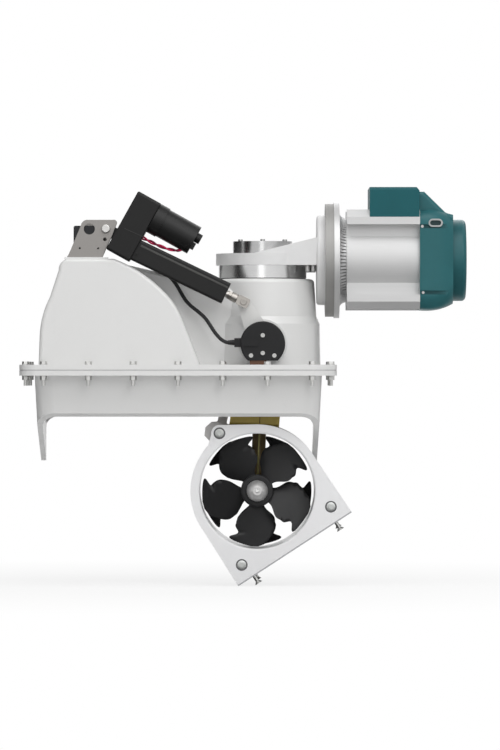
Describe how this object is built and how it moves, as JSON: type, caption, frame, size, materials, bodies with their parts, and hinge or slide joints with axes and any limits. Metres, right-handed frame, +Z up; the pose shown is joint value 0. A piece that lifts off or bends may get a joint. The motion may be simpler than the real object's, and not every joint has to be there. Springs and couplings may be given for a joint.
{
  "type": "bow thruster",
  "caption": "Retractable tunnel bow thruster: white housing, electric motor on a bevel elbow, linear actuator, swinging bronze leg with twin propellers in a tunnel.",
  "frame": {"origin": "centre of the underside of the lower flange", "axes": "+X along the vessel to the motor, +Y athwart, +Z up"},
  "size_m": [0.97, 0.406, 0.8669],
  "materials": {
    "housing_gelcoat": "semi-gloss white gelcoat",
    "tunnel_gelcoat": "semi-gloss white gelcoat",
    "cast_white": "white epoxy paint on a casting",
    "cast_grey": "satin anodised grey",
    "turned_steel": "turned, bright",
    "stainless": "stainless, brushed",
    "fastener": "A4 stainless",
    "extruded_aluminium": "natural satin extrusion",
    "teal_cover": "fine textured teal moulding",
    "black_plastic": "satin black moulding",
    "black_composite": "glass filled composite",
    "bronze": "cast bronze, machined faces",
    "rubber": "matt black rubber",
    "bearing_steel": "ground bearing steel",
    "gear_steel": "hardened gear steel",
    "zinc": "cast zinc, dull",
    "copper": "copper coloured clip",
    "red_lead": "red and black insulated wire",
    "black_cable": "black cable sheath"
  },
  "bodies": {
    "root": {"lower_housing": "housing_gelcoat", "upper_housing": "housing_gelcoat", "flange_gasket": "rubber", "flange_bolts": "fastener", "flange_nuts": "fastener", "tower_gasket": "rubber", "adapter_ring": "turned_steel", "drive_bearing": "bearing_steel", "drive_elbow": "cast_white", "pinion_bearing": "bearing_steel", "top_cap": "turned_steel", "socket_screws": "fastener", "motor_adapter": "cast_grey", "motor_flange": "extruded_aluminium", "motor_body": "extruded_aluminium", "stator_core": "gear_steel", "motor_bearings": "bearing_steel", "motor_end_cap": "teal_cover", "motor_rear_cover": "teal_cover", "cable_grommet": "cast_grey", "controller_box": "teal_cover", "swing_bearings": "bronze", "swing_seals": "rubber", "trunnion_cover": "cast_white", "link_anchor_pins": "stainless", "actuator_bracket": "stainless", "bracket_pin": "stainless", "control_box": "black_plastic", "sensor_housing": "black_plastic", "sensor_screws": "fastener", "sensor_foot": "copper", "sensor_cable": "black_cable"},
    "leg": {"leg_yoke": "bronze", "leg_bearings": "bearing_steel", "gear_leg": "bronze", "prop_bearings": "bearing_steel", "front_trunnion": "turned_steel", "back_trunnion": "turned_steel", "swing_lever": "cast_white"},
    "tunnel": {"tunnel_plates": "tunnel_gelcoat", "tunnel_tube": "tunnel_gelcoat", "tie_rods": "stainless", "base_plate": "tunnel_gelcoat", "hatch_screws": "fastener"},
    "links": {"link_rods": "cast_grey"},
    "actuator": {"actuator_gear_housing": "black_plastic", "actuator_tube": "black_plastic", "actuator_motor": "black_plastic", "actuator_leads": "red_lead"},
    "ram": {"actuator_rod": "turned_steel", "rod_end": "stainless"},
    "rotor": {"motor_rotor": "gear_steel"},
    "drive": {"drive_shaft": "gear_steel"},
    "leg_drive": {"leg_shaft": "gear_steel"},
    "front_wheel": {"front_prop_shaft": "gear_steel", "front_propeller": "black_composite", "front_cone": "zinc"},
    "back_wheel": {"back_prop_shaft": "gear_steel", "back_propeller": "black_composite", "back_cone": "zinc"}
  },
  "joints": [
    {"name": "leg_swing", "type": "hinge", "parent": "root", "child": "leg", "pos_m": [0.183, 0, 0.069], "axis": [0, 1, 0], "range_deg": [0, 85]},
    {"name": "tunnel_tilt", "type": "hinge", "parent": "leg", "child": "tunnel", "pos_m": [0.17105, 0, -0.25078], "axis": [0, 1, 0], "range_deg": [-51.9, 0]},
    {"name": "link_turn", "type": "hinge", "parent": "tunnel", "child": "links", "pos_m": [0.08914, 0, -0.12512], "axis": [0, 1, 0], "range_deg": [0, 52.9]},
    {"name": "actuator_tilt", "type": "hinge", "parent": "root", "child": "actuator", "pos_m": [-0.1563, 0, 0.3174], "axis": [0, 1, 0], "range_deg": [-2.27, 0]},
    {"name": "ram_slide", "type": "slide", "parent": "actuator", "child": "ram", "axis": [0.9006, 0, -0.4346], "range_m": [0, 0.13301]},
    {"name": "motor_spin", "type": "hinge", "parent": "root", "child": "rotor", "pos_m": [0.183, 0, 0.2524], "axis": [1, 0, 0], "continuous": true},
    {"name": "drive_spin", "type": "hinge", "parent": "root", "child": "drive", "pos_m": [0.183, 0, 0.2524], "axis": [0, 0, 1], "continuous": true},
    {"name": "leg_shaft_spin", "type": "hinge", "parent": "leg", "child": "leg_drive", "pos_m": [0.183, 0, 0.069], "axis": [0.0373, 0, 0.9993], "continuous": true},
    {"name": "front_wheel_spin", "type": "hinge", "parent": "leg", "child": "front_wheel", "pos_m": [0.17105, 0, -0.25078], "axis": [0, 1, 0], "continuous": true},
    {"name": "back_wheel_spin", "type": "hinge", "parent": "leg", "child": "back_wheel", "pos_m": [0.17105, 0, -0.25078], "axis": [0, 1, 0], "continuous": true}
  ],
  "couplings": [
    {"joint": "tunnel_tilt", "follows": "leg_swing", "ratio": -0.61059},
    {"joint": "link_turn", "follows": "leg_swing", "ratio": 0.62232},
    {"joint": "actuator_tilt", "follows": "leg_swing", "ratio": -0.026711},
    {"joint": "ram_slide", "follows": "leg_swing", "m_per_rad": 0.089654},
    {"joint": "drive_spin", "follows": "motor_spin", "ratio": -0.66667},
    {"joint": "leg_shaft_spin", "follows": "motor_spin", "ratio": -0.66667},
    {"joint": "front_wheel_spin", "follows": "motor_spin", "ratio": -0.5},
    {"joint": "back_wheel_spin", "follows": "motor_spin", "ratio": 0.5}
  ]
}
